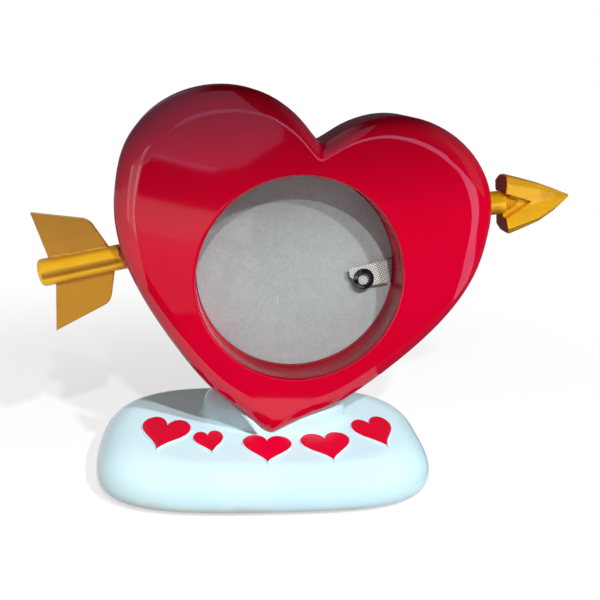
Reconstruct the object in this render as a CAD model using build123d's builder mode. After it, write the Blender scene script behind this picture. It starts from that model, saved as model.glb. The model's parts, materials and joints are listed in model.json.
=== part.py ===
from build123d import *
from math import cos, pi, radians, sin, sqrt
import os

# A heart shaped photo frame that stands on a rounded base, pierced by an arrow.
# Millimetres, +Z up, front towards -Y, origin at the centre of the underside.

# Heart casting
heart_width = 144.8
heart_height = 132.9
heart_thickness = 27.6
heart_lean = 6.27          # degrees, top leaning to the viewer's right
tip_x = 0.2
tip_height = 23.7
tip_radius = 3.0
cleft_radius = 2.6
bevel_depth = 4.4          # how far the rounded border runs back from the face
heart_wall = 9.0           # resin left behind the photo recess

# Photo recess and what lies in it, from the front
window_radius = 40.0
window_rise = 65.7         # window centre above the tip, along the heart
window_shift = 1.0         # window centre right of the heart's middle
rim_radius = 1.1
cover_setback = 13.5
cover_thickness = 1.5
cover_clearance = 0.3
cover_edge = 0.25
card_thickness = 0.6
card_clearance = 0.35
layer_clearance = 0.05

# Pull ribbon and eyelet
ribbon_angle = 16.0        # degrees, the ribbon's run across the cover
ribbon_offset = 4.7        # its centre line below the window centre
ribbon_width = 9.4
ribbon_thickness = 0.35
ribbon_back_run = 12.0
slot_inset = 2.8           # slot from the recess wall, along the ribbon
slot_width = 1.1
slot_clearance = 0.4
card_lip = 1.0             # card left outside the slot, where the ribbon turns back
flap_length = 15.5
flap_corner = 4.2          # corner trimmed off beside the eyelet
eyelet_setback = 10.2      # eyelet's centre from the fold of the flap
eyelet_drop = 1.6
eyelet_radius = 4.4
eyelet_bore_radius = 2.25
eyelet_barrel_wall = 0.3
eyelet_height = 1.1
eyelet_washer_thickness = 0.3
eyelet_clearance = 0.05
fold_radius = 0.3
hinge_clearance = 0.2

# Base casting
base_length = 136.4
base_depth = 76.0
base_centre_height = 25.6
base_belly = 1.0
top_slope = 9.0            # degrees, rising to the rear
front_rounding = 8.5
foot_rounding = 6.4
corner_power = 3.3
felt_thickness = 1.0
felt_inset = 1.8

# Cradle boss that holds the heart's point
cradle_length = 60.0
cradle_depth = 29.0
cradle_height = 39.5
cradle_x = 3.2
cradle_y = 3.0
cradle_rounding = 9.0
glue_gap = 0.2

# Anchor screw, from under the base into the heart
screw_radius = 2.0
screw_length = 36.0
screw_head_radius = 4.0
screw_head_height = 2.6
washer_radius = 5.5
anchor_washer_thickness = 1.0
counterbore_radius = 6.2
counterbore_depth = 8.0
screw_clearance = 0.3
thread_clearance = 0.05
drive_radius = 1.6
drive_depth = 1.4

# Arrow tail
tail_end_x = -90.0
tail_end_z = 85.7
tail_angle = 13.9          # degrees above level
tail_length = 37.7         # end of the tail to the bottom of its socket
tail_end_radius = 5.3
tail_neck_radius = 4.9
tail_edge = 1.6
vane_thickness = 2.6
vane_root_start = 4.7       # from the end of the tail
vane_root_length = 22.6
vane_span = 23.25          # outer edge from the shaft's axis
vane_seat = 1.2            # how deep the vane sits in the shaft
vane_corner = 5.6
vane_edge = 0.5

# Arrow head and its shaft
point_x = 118.45
point_z = 124.85
head_angle = 10.0          # degrees above level
head_length = 29.0
head_span = 25.5
head_thickness = 12.6
corner_setback = 2.4       # rear corners of the head ahead of its rear edge
notch_width = 10.1
notch_length = 11.6
web_thickness = 3.4
shaft_angle = 8.4          # degrees above level, through the head's point
shaft_seat = 3.0           # how far the shaft reaches into the notch
shaft_root_radius = 4.8    # at the heart
shaft_end_radius = 3.2
head_gap = 6.4             # bare shaft between the heart and the head's rear edge
head_socket_depth = 6.0
spear_radius = 3.1
spear_length = 8.4

# Wire pins in the two halves of the arrow
pin_radius = 1.0
pin_clearance = 0.05
tail_pin_length = 26.0
head_pin_depth = 6.0       # into the head, and again past the socket

overrun = 1.0

# Outline of half the heart: shares of half the width, and of the height above the tip
outline_shares = (
    (0.170, 0.0595), (0.316, 0.1070), (0.554, 0.2230), (0.793, 0.3785),
    (0.920, 0.4945), (0.986, 0.6060), (0.998, 0.6950), (0.974, 0.8000),
    (0.847, 0.9100), (0.646, 0.9790), (0.470, 0.9995), (0.300, 0.9890), (0.113, 0.9350),
)
cleft_share = 0.8885
tip_turn = 33.5            # degrees, each side of the point
cleft_turn = 38.0

# Rounded border: setback as a share of the bevel depth, then size of the outline there
border_shares = ((0.0, 0.915), (0.07, 0.932), (0.22, 0.953), (0.45, 0.975), (0.72, 0.991), (1.0, 1.0))

# Vane outline: side of the shaft, its two tips as shares of the root's length, and the
# front tip's height as a share of the span
vane_shares = {
    "upper_vane": (1, -0.085, 0.798, 0.721),
    "lower_vane": (-1, -0.205, 0.810, 0.706),
}

# Quarter section of the arrow head: shares of the half span and half thickness
head_quarter_shares = ((1.0, 0.32), (0.95, 0.62), (0.72, 1.0), (0.0, 0.68))

# Rear edge of each lobe: shares of the corner's setback, then of the half span
head_corner_shares = ((0.0, 0.40), (0.12, 0.70), (0.45, 0.88), (1.0, 0.975))

# Along the head from its rear edge: shares of its length, then size and droop of the section
head_station_shares = (
    (0.0, 1.0, 0.0), (0.28, 0.80, 0.035), (0.52, 0.62, 0.065), (0.76, 0.355, 0.055),
    (0.91, 0.15, 0.025), (1.0, 0.03, 0.0),
)

# Frames of reference
lean_sin = sin(radians(heart_lean))
lean_cos = cos(radians(heart_lean))
face_plane = Plane(
    origin=(
        tip_x + window_rise * lean_sin,
        -heart_thickness / 2,
        tip_height + window_rise * lean_cos,
    ),
    x_dir=(lean_cos, 0, -lean_sin),
    z_dir=(0, -1, 0),
)
window_plane = Plane(
    origin=face_plane.from_local_coords((window_shift, 0, 0)),
    x_dir=face_plane.x_dir,
    z_dir=face_plane.z_dir,
)
ribbon_cos = cos(radians(ribbon_angle))
ribbon_sin = sin(radians(ribbon_angle))
ribbon_plane = Plane(
    origin=window_plane.from_local_coords((ribbon_offset * ribbon_sin, -ribbon_offset * ribbon_cos, 0)),
    x_dir=window_plane.x_dir * ribbon_cos + window_plane.y_dir * ribbon_sin,
    z_dir=window_plane.z_dir,
)

# Ribbon's places along its run, from the recess wall
slot_reach = sqrt(window_radius ** 2 - ribbon_offset ** 2) - slot_inset
card_notch_reach = slot_reach + card_lip
eyelet_reach = slot_reach - eyelet_setback

# Depths behind the face of the heart
cover_back = cover_setback + cover_thickness
card_front = cover_back + ribbon_thickness + 2 * layer_clearance
card_back = card_front + card_thickness
recess_depth = heart_thickness - heart_wall
flap_depth = cover_setback - layer_clearance - eyelet_washer_thickness
hinge_depth = flap_depth - ribbon_thickness / 2
pad_front = card_back + ribbon_thickness + 2 * layer_clearance

# Heights under the heart
base_floor = felt_thickness
washer_seat = base_floor + counterbore_depth
screw_seat = washer_seat - anchor_washer_thickness


def heart_section(setback, scale):
    """Heart outline on a plane behind the face, at a scale about the window's level."""
    half = heart_width / 2 * scale
    tall = heart_height * scale
    low = -window_rise * scale
    point_arc = tip_radius * scale
    cleft_arc = cleft_radius * scale
    cleft_y = low + cleft_share * tall
    tip_run = (cos(radians(tip_turn)), sin(radians(tip_turn)))
    cleft_run = (-cos(radians(cleft_turn)), -sin(radians(cleft_turn)))
    start = (point_arc * tip_run[1], low + point_arc * (1 - tip_run[0]))
    end = (-cleft_arc * cleft_run[1], cleft_y + cleft_arc * (1 + cleft_run[0]))
    stations = [(x * half, low + y * tall) for x, y in outline_shares]
    with BuildSketch(face_plane.offset(-setback)) as section:
        with BuildLine():
            ThreePointArc((-start[0], start[1]), (0, low), start)
            side = Spline(start, *stations, end, tangents=[tip_run, cleft_run])
            ThreePointArc(end, (0, cleft_y), (-end[0], end[1]))
            mirror(side, about=Plane.YZ)
        make_face()
    return section.sketch


def heart_sections(growth):
    """Sections through the rounded borders, front and rear, grown by a share."""
    front = [heart_section(share * bevel_depth, size + growth) for share, size in border_shares]
    rear = [
        heart_section(heart_thickness - share * bevel_depth, size + growth)
        for share, size in reversed(border_shares)
    ]
    return front + rear


def axis_plane(x, z, angle):
    """Plane square to an arrow stub, its normal along the stub towards the viewer's right."""
    return Plane(
        origin=(x, 0, z),
        x_dir=(-sin(radians(angle)), 0, cos(radians(angle))),
        z_dir=(cos(radians(angle)), 0, sin(radians(angle))),
    )


def side_plane(x, z, angle):
    """Plane that holds an arrow stub's axis as its X, seen from the front."""
    return Plane(
        origin=(x, 0, z),
        x_dir=(cos(radians(angle)), 0, sin(radians(angle))),
        z_dir=(0, -1, 0),
    )


def rounded_outline(half_length, half_depth, power):
    """Points round a superellipse, for a closed spline."""
    count = 28
    points = []
    for index in range(count):
        turn = 2 * pi * (index + 0.5) / count
        across, along = sin(turn), cos(turn)
        points.append((
            half_length * abs(along) ** (2 / power) * (1 if along > 0 else -1),
            half_depth * abs(across) ** (2 / power) * (1 if across > 0 else -1),
        ))
    return points


# Arrow placing
tail_frame = axis_plane(tail_end_x, tail_end_z, tail_angle)
tail_side = side_plane(tail_end_x, tail_end_z, tail_angle)
head_frame = axis_plane(point_x, point_z, head_angle)
head_side = side_plane(point_x, point_z, head_angle)
shaft_frame = axis_plane(point_x, point_z, shaft_angle)
shaft_side = side_plane(point_x, point_z, shaft_angle)
shaft_wall = head_length + head_gap
shaft_start = shaft_wall + head_socket_depth
shaft_end = head_length - shaft_seat
head_pin_start = shaft_start + head_pin_depth
head_pin_end = shaft_end - head_pin_depth

# Heart casting, with its photo recess, arrow sockets and screw hole
with BuildPart() as heart_body:
    loft(heart_sections(0), ruled=True)
    with BuildSketch(window_plane):
        Circle(window_radius)
    extrude(amount=-recess_depth, mode=Mode.SUBTRACT)
    rim = heart_body.edges().filter_by(GeomType.CIRCLE).filter_by(
        lambda edge: abs(edge.radius - window_radius) < rim_radius
    )
    fillet(rim.sort_by(Axis.Y)[0], rim_radius)
    with BuildSketch(tail_frame.offset(tail_length)):
        Circle(tail_neck_radius + pin_clearance)
    extrude(amount=-tail_length, mode=Mode.SUBTRACT)
    with BuildSketch(tail_frame.offset(tail_length)):
        Circle(pin_radius + pin_clearance)
    extrude(amount=tail_pin_length / 2, mode=Mode.SUBTRACT)
    with BuildSketch(shaft_frame.offset(-shaft_start)):
        Circle(shaft_root_radius + pin_clearance)
    extrude(amount=shaft_start, mode=Mode.SUBTRACT)
    with BuildSketch(shaft_frame.offset(-head_pin_start)):
        Circle(pin_radius + pin_clearance)
    extrude(amount=head_pin_depth, mode=Mode.SUBTRACT)
    with BuildSketch(Plane.XY):
        with Locations((tip_x, 0)):
            Circle(screw_radius + thread_clearance)
    extrude(amount=screw_seat + screw_length + overrun, mode=Mode.SUBTRACT)

heart_body.part.label = "heart_body"

# Pillow shaped base casting: levels that tilt more and more towards the sloping top
wall_height = base_centre_height - base_floor - foot_rounding
front_height = wall_height - base_depth / 2 * sin(radians(top_slope))
rear_rounding = wall_height
foot_turns = (0, 12, 28, 48, 70)
wall_turns = (0, 14, 28, 42, 56, 68, 78, 86, 90)
cradle_turns = (0, 20, 40, 60, 75, 85, 90)


def base_level(rise, inset, front_inset, tilt):
    """One level of the base: a superellipse on a plane that may tilt up to the rear."""
    belly = base_belly * sin(pi * rise / base_centre_height)
    half_length = base_length / 2 - inset + belly
    half_depth = base_depth / 2 - (inset + front_inset) / 2 + belly / 2
    level = Plane(
        origin=(0, 0, base_floor + rise),
        x_dir=(1, 0, 0),
        z_dir=(0, -sin(radians(tilt)), cos(radians(tilt))),
    )
    with BuildSketch(level) as section:
        with BuildLine(Location((0, (front_inset - inset) / 2))):
            Spline(*rounded_outline(half_length, half_depth, corner_power), periodic=True)
        make_face()
    return section.sketch


base_levels = []
for turn in foot_turns:
    foot_inset = foot_rounding * (1 - sin(radians(turn)))
    base_levels.append(base_level(foot_rounding * (1 - cos(radians(turn))), foot_inset, foot_inset, 0))
for turn in wall_turns:
    climb = sin(radians(turn))
    front_climb = max(0, (climb * front_height - front_height + front_rounding) / front_rounding)
    base_levels.append(base_level(
        foot_rounding + wall_height * climb,
        rear_rounding * (1 - cos(radians(turn))),
        front_rounding * (1 - sqrt(max(0, 1 - front_climb ** 2))),
        top_slope * climb,
    ))

cradle_levels = []
for turn in cradle_turns:
    inset = cradle_rounding * (1 - cos(radians(turn)))
    rise = cradle_height - cradle_rounding * (1 - sin(radians(turn)))
    with BuildSketch(Plane.XY.offset(rise)) as cradle_level:
        with Locations((cradle_x, cradle_y)):
            Ellipse(cradle_length / 2 - inset, cradle_depth / 2 - inset)
    cradle_levels.append(cradle_level.sketch)

# Base casting, with its cradle boss, the bed of the heart's point and the screw's counterbore
with BuildPart() as base_body:
    loft(base_levels)
    extrude(cradle_levels[0], amount=base_floor + foot_rounding - cradle_height + cradle_rounding)
    loft(cradle_levels)
    loft(heart_sections(glue_gap / window_rise), ruled=True, mode=Mode.SUBTRACT)
    with BuildSketch(Plane.XY.offset(base_floor)):
        with Locations((tip_x, 0)):
            Circle(counterbore_radius)
    extrude(amount=counterbore_depth, mode=Mode.SUBTRACT)
    with BuildSketch(Plane.XY.offset(washer_seat)):
        with Locations((tip_x, 0)):
            Circle(screw_radius + screw_clearance)
    extrude(amount=tip_height, mode=Mode.SUBTRACT)

base_body.part.label = "base_body"

# Felt under the base
with BuildPart() as felt_pad:
    with BuildSketch():
        with BuildLine():
            Spline(
                *rounded_outline(
                    base_length / 2 - foot_rounding - felt_inset,
                    base_depth / 2 - foot_rounding - felt_inset,
                    corner_power,
                ),
                periodic=True,
            )
        make_face()
    extrude(amount=felt_thickness)

felt_pad.part.label = "felt_pad"

# Screw and washer that hold the heart down into its cradle
with BuildPart() as anchor_washer:
    with BuildSketch(Plane.XY.offset(screw_seat)):
        with Locations((tip_x, 0)):
            Circle(washer_radius)
            Circle(screw_radius + screw_clearance, mode=Mode.SUBTRACT)
    extrude(amount=anchor_washer_thickness)

anchor_washer.part.label = "anchor_washer"

with BuildPart() as anchor_screw:
    with BuildSketch(Plane.XY.offset(screw_seat)):
        with Locations((tip_x, 0)):
            Circle(screw_head_radius)
    extrude(amount=-screw_head_height)
    fillet(anchor_screw.edges().sort_by(Axis.Z)[0], screw_head_height / 2)
    with BuildSketch(Plane.XY.offset(screw_seat)):
        with Locations((tip_x, 0)):
            Circle(screw_radius)
    extrude(amount=screw_length)
    chamfer(anchor_screw.edges().sort_by(Axis.Z)[-1], screw_radius / 2)
    with BuildSketch(Plane.XY.offset(screw_seat - screw_head_height)):
        with Locations((tip_x, 0)):
            Rectangle(2 * drive_radius, drive_radius / 2)
            Rectangle(drive_radius / 2, 2 * drive_radius)
    extrude(amount=drive_depth, mode=Mode.SUBTRACT)

anchor_screw.part.label = "anchor_screw"

# Backing pad, photo card and clear cover, one behind the other in the recess
with BuildPart() as backing_pad:
    with BuildSketch(window_plane.offset(-recess_depth)):
        Circle(window_radius - cover_clearance)
    extrude(amount=recess_depth - pad_front)

backing_pad.part.label = "backing_pad"

with BuildPart() as photo_card:
    with BuildSketch(window_plane.offset(-card_back)):
        Circle(window_radius - card_clearance)
    extrude(amount=card_thickness)
    with BuildSketch(ribbon_plane.offset(-card_back)):
        with Locations((card_notch_reach, 0)):
            Rectangle(
                window_radius, ribbon_width + 2 * slot_clearance, align=(Align.MIN, Align.CENTER)
            )
    extrude(amount=card_thickness, mode=Mode.SUBTRACT)

photo_card.part.label = "photo_card"

with BuildPart() as clear_cover:
    with BuildSketch(window_plane.offset(-cover_back)):
        Circle(window_radius - cover_clearance)
    extrude(amount=cover_thickness)
    chamfer(clear_cover.edges().filter_by(GeomType.CIRCLE), cover_edge)
    with BuildSketch(ribbon_plane.offset(-cover_back)) as cover_slot:
        with Locations((slot_reach, 0)):
            Rectangle(slot_width, ribbon_width + 2 * slot_clearance)
        fillet(cover_slot.vertices(), slot_width / 3)
    extrude(amount=cover_thickness, mode=Mode.SUBTRACT)

clear_cover.part.label = "clear_cover"

# Pull ribbon: up through the slot, out into the card's notch and back behind the card
ribbon_side = Plane(
    origin=ribbon_plane.origin,
    x_dir=ribbon_plane.x_dir,
    z_dir=-ribbon_plane.y_dir,
)
over_card = -(card_front - layer_clearance - ribbon_thickness / 2)
under_card = -(card_back + layer_clearance + ribbon_thickness / 2)
ribbon_turn = card_notch_reach + layer_clearance + ribbon_thickness / 2
flap_end = slot_reach + ribbon_thickness / 2

with BuildPart() as pull_ribbon:
    with BuildSketch(ribbon_side):
        with BuildLine():
            FilletPolyline(
                (slot_reach, hinge_clearance - cover_setback),
                (slot_reach, over_card),
                (ribbon_turn, over_card),
                (ribbon_turn, under_card),
                (ribbon_turn - ribbon_back_run, under_card),
                radius=fold_radius,
            )
        trace(line_width=ribbon_thickness)
    extrude(amount=ribbon_width / 2, both=True)

pull_ribbon.part.label = "pull_ribbon"

with BuildPart() as ribbon_flap:
    with BuildSketch(ribbon_plane.offset(-flap_depth)):
        with BuildLine():
            Polyline(
                (flap_end, -ribbon_width / 2),
                (flap_end, ribbon_width / 2),
                (flap_end - flap_length, ribbon_width / 2),
                (flap_end - flap_length, flap_corner - ribbon_width / 2),
                (flap_end - flap_length + flap_corner, -ribbon_width / 2),
                close=True,
            )
        make_face()
        with Locations((eyelet_reach, -eyelet_drop)):
            Circle(eyelet_bore_radius + eyelet_barrel_wall + eyelet_clearance, mode=Mode.SUBTRACT)
    extrude(amount=ribbon_thickness)

ribbon_flap.part.label = "ribbon_flap"

# Eyelet in the flap, with its washer behind
eyelet_plane = Plane(
    origin=ribbon_plane.from_local_coords((eyelet_reach, -eyelet_drop, -flap_depth)),
    x_dir=ribbon_plane.x_dir,
    z_dir=-ribbon_plane.y_dir,
)
eyelet_axis = Axis(eyelet_plane.origin, ribbon_plane.z_dir)
barrel_radius = eyelet_bore_radius + eyelet_barrel_wall

with BuildPart() as eyelet_ring:
    with BuildSketch(eyelet_plane):
        with BuildLine():
            ThreePointArc(
                (eyelet_bore_radius, ribbon_thickness),
                ((eyelet_bore_radius + eyelet_radius) / 2, ribbon_thickness + eyelet_height),
                (eyelet_radius, ribbon_thickness),
            )
            Polyline(
                (eyelet_radius, ribbon_thickness),
                (barrel_radius, ribbon_thickness),
                (barrel_radius, -eyelet_washer_thickness),
                (eyelet_bore_radius, -eyelet_washer_thickness),
                (eyelet_bore_radius, ribbon_thickness),
            )
        make_face()
    revolve(axis=eyelet_axis)

eyelet_ring.part.label = "eyelet_ring"

with BuildPart() as eyelet_washer:
    with BuildSketch(ribbon_plane.offset(-flap_depth)):
        with Locations((eyelet_reach, -eyelet_drop)):
            Circle(eyelet_radius - eyelet_barrel_wall)
            Circle(barrel_radius + eyelet_clearance, mode=Mode.SUBTRACT)
    extrude(amount=-eyelet_washer_thickness)

eyelet_washer.part.label = "eyelet_washer"

# Tail of the arrow: a tapered shaft with a groove for each vane
vane_seat_radius = tail_neck_radius - vane_seat
vane_root_end = vane_root_start + vane_root_length

with BuildPart() as tail_shaft:
    with BuildSketch(tail_side):
        with BuildLine():
            Polyline((tail_length, 0), (0, 0), (0, tail_end_radius - tail_edge))
            RadiusArc(
                (0, tail_end_radius - tail_edge), (tail_edge, tail_end_radius), tail_edge
            )
            Polyline(
                (tail_edge, tail_end_radius),
                (vane_root_end, tail_neck_radius),
                (tail_length, tail_neck_radius),
                (tail_length, 0),
            )
        make_face()
    revolve(axis=Axis(tail_side.origin, tail_side.x_dir))
    with BuildSketch(tail_side):
        for side in (1, -1):
            with Locations((vane_root_start, side * vane_seat_radius)):
                Rectangle(
                    vane_root_length,
                    tail_end_radius,
                    align=(Align.MIN, Align.MIN if side > 0 else Align.MAX),
                )
    extrude(amount=vane_thickness / 2, both=True, mode=Mode.SUBTRACT)
    with BuildSketch(tail_frame.offset(tail_length)):
        Circle(pin_radius + pin_clearance)
    extrude(amount=-tail_pin_length / 2, mode=Mode.SUBTRACT)

tail_shaft.part.label = "tail_shaft"

# Flat vanes, one over and one under the tail's shaft
vanes = []
for name, (side, rear_share, front_share, height_share) in vane_shares.items():
    rear_tip = (vane_root_start + rear_share * vane_root_length, side * vane_span)
    front_tip = (
        vane_root_start + front_share * vane_root_length,
        side * height_share * vane_span,
    )
    with BuildPart() as vane:
        with BuildSketch(tail_side) as vane_outline:
            with BuildLine():
                Polyline(
                    (vane_root_start, side * vane_seat_radius),
                    (vane_root_start, side * tail_end_radius),
                    rear_tip,
                    front_tip,
                    (vane_root_end, side * tail_neck_radius),
                    (vane_root_end, side * vane_seat_radius),
                    close=True,
                )
            make_face()
            fillet(vane_outline.vertices().sort_by_distance(front_tip)[0], vane_corner)
        extrude(amount=vane_thickness / 2, both=True)
        fillet(vane.faces().filter_by(Axis.Y).edges(), vane_edge)
    vane.part.label = name
    vanes.append(vane)

# Arrow head: ridged lobes over and under a valley, with a notch round the end of its shaft
half_span = head_span / 2
half_thick = head_thickness / 2
quarter = [(x * half_span, y * half_thick) for x, y in head_quarter_shares]
right_half = [(x, -y) for x, y in quarter[:-1][::-1]] + quarter
head_outline = right_half + [(-x, y) for x, y in quarter[:-1][::-1]]
head_outline += [(-x, -y) for x, y in quarter]
head_sections = []
for place, size, droop in head_station_shares:
    with BuildSketch(head_frame.offset((place - 1) * head_length)) as head_section:
        with BuildLine():
            Polyline(
                *((x * size - droop * half_span, y * size) for x, y in head_outline),
                close=True,
            )
        make_face()
    head_sections.append(head_section.sketch)

with BuildPart() as arrow_head:
    loft(head_sections, ruled=True)
    with BuildSketch(head_side):
        for side in (1, -1):
            with BuildLine():
                Polyline(
                    (-head_length - overrun, 0),
                    (-head_length, 0),
                    *(
                        (-head_length + back * corner_setback, side * out * half_span)
                        for back, out in head_corner_shares
                    ),
                    (-head_length + corner_setback, side * (half_span + overrun)),
                    (-head_length - overrun, side * (half_span + overrun)),
                    close=True,
                )
            make_face()
    extrude(amount=head_thickness, both=True, mode=Mode.SUBTRACT)
    for side in (1, -1):
        with BuildSketch(head_side.offset(side * web_thickness / 2)):
            with BuildLine():
                Polyline(
                    (-head_length, notch_width / 2),
                    (-head_length + notch_length, 0),
                    (-head_length, -notch_width / 2),
                    close=True,
                )
            make_face()
        extrude(amount=side * head_thickness, mode=Mode.SUBTRACT)
    with BuildSketch(shaft_side):
        with BuildLine():
            Polyline(
                (-shaft_end, 0),
                (-shaft_end, spear_radius),
                (-shaft_end + spear_length, 0),
                close=True,
            )
        make_face()
    revolve(axis=Axis(shaft_side.origin, shaft_side.x_dir))
    with BuildSketch(shaft_frame.offset(-shaft_end)):
        Circle(shaft_end_radius + pin_clearance)
    extrude(amount=-shaft_seat - overrun, mode=Mode.SUBTRACT)
    with BuildSketch(shaft_frame.offset(-shaft_end)):
        Circle(pin_radius + pin_clearance)
    extrude(amount=head_pin_depth, mode=Mode.SUBTRACT)

arrow_head.part.label = "arrow_head"

with BuildPart() as head_shaft:
    with BuildSketch(shaft_side):
        with BuildLine():
            Polyline(
                (-shaft_start, pin_radius + pin_clearance),
                (-shaft_start, shaft_root_radius),
                (-shaft_wall, shaft_root_radius),
                (-head_length, shaft_end_radius),
                (-shaft_end, shaft_end_radius),
                (-shaft_end, pin_radius + pin_clearance),
                close=True,
            )
        make_face()
    revolve(axis=Axis(shaft_side.origin, shaft_side.x_dir))

head_shaft.part.label = "head_shaft"

# Wire pins through the joints of the arrow
with BuildPart() as tail_pin:
    with BuildSketch(tail_frame.offset(tail_length - tail_pin_length / 2)):
        Circle(pin_radius)
    extrude(amount=tail_pin_length)

tail_pin.part.label = "tail_pin"

with BuildPart() as head_pin:
    with BuildSketch(shaft_frame.offset(-head_pin_start)):
        Circle(pin_radius)
    extrude(amount=head_pin_start - head_pin_end)

head_pin.part.label = "head_pin"

pieces = [
    heart_body, base_body, felt_pad, anchor_washer, anchor_screw, backing_pad, photo_card,
    clear_cover, pull_ribbon, ribbon_flap, eyelet_ring, eyelet_washer, tail_shaft, *vanes,
    arrow_head, head_shaft, tail_pin, head_pin,
]
os.makedirs("parts", exist_ok=True)
for piece in pieces:
    export_step(piece.part, f"parts/{piece.part.label}.step")

hinge_place = ribbon_plane.from_local_coords((slot_reach, 0, -hinge_depth))
hinge_axis = ribbon_plane.y_dir
print("flap hinge at", hinge_place, "along", hinge_axis)
print("window centre at", window_plane.origin)
print("depths: cover", cover_setback, "card", card_front, "pad", pad_front, "recess", recess_depth)
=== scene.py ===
"""Looks of a heart shaped photo frame that stands on a white pillow base, pierced by a gold arrow."""

import json
import logging
import math
from dataclasses import dataclass, field
from enum import Enum
from typing import Callable, Sequence

import bmesh
import bpy
from bmesh.types import BMEdge, BMesh, BMVert
from bpy.types import Material, Node, NodeSocket, NodeTree, Object
from mathutils import Matrix, Vector
from mathutils.bvhtree import BVHTree

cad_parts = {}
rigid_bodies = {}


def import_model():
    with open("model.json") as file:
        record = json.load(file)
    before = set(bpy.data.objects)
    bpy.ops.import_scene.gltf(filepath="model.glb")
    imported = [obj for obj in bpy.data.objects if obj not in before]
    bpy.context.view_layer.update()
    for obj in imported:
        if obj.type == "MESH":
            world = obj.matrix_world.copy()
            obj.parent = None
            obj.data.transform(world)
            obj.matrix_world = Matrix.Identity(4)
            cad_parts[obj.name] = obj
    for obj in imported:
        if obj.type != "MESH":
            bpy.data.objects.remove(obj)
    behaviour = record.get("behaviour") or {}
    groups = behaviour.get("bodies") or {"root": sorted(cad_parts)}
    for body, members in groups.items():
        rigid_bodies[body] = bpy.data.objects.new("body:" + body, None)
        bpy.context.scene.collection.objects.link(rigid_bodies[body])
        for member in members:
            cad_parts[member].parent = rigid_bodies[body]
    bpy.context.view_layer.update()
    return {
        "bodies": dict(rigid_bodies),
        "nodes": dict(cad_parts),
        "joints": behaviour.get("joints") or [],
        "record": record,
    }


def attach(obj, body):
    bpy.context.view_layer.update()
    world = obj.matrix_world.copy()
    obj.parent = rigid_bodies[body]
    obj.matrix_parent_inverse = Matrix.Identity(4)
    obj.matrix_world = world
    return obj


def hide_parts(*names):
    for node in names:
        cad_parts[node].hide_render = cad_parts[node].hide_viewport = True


LOG = logging.getLogger("photo_frame")
MM = 0.001
MERGE_DISTANCE = 0.002 * MM

Point = tuple[float, float]
Spot = tuple[float, float, float]
Colour = tuple[float, float, float]
Modifiers = dict[str, dict[str, object]]


class Body(Enum):
    """Rigid bodies of the frame, by the names that the record gives them."""

    FRAME = "frame"
    PACK = "photo_pack"
    TAB = "pull_tab"


class Reach(Enum):
    """What a stage card does: it is mirrored by gloss, or it keeps a lamp's light away."""

    MIRRORED = "mirrored"
    SHADING = "shading"


class Stance(Enum):
    """How a stage card stands: upright in front of the object, or flat just over the floor."""

    UPRIGHT = "upright"
    FLAT = "flat"


def srgb(red: float, green: float, blue: float) -> Colour:
    """Turns a display colour into the linear one that shaders take.

    Args:
        red: Red, from 0 to 255.
        green: Green, from 0 to 255.
        blue: Blue, from 0 to 255.

    Returns:
        The linear red, green and blue, from 0 to 1.
    """
    def linear(value: float) -> float:
        """Turns one part of the colour."""
        share = value / 255
        return share / 12.92 if share <= 0.04045 else ((share + 0.055) / 1.055) ** 2.4

    return linear(red), linear(green), linear(blue)


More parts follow.
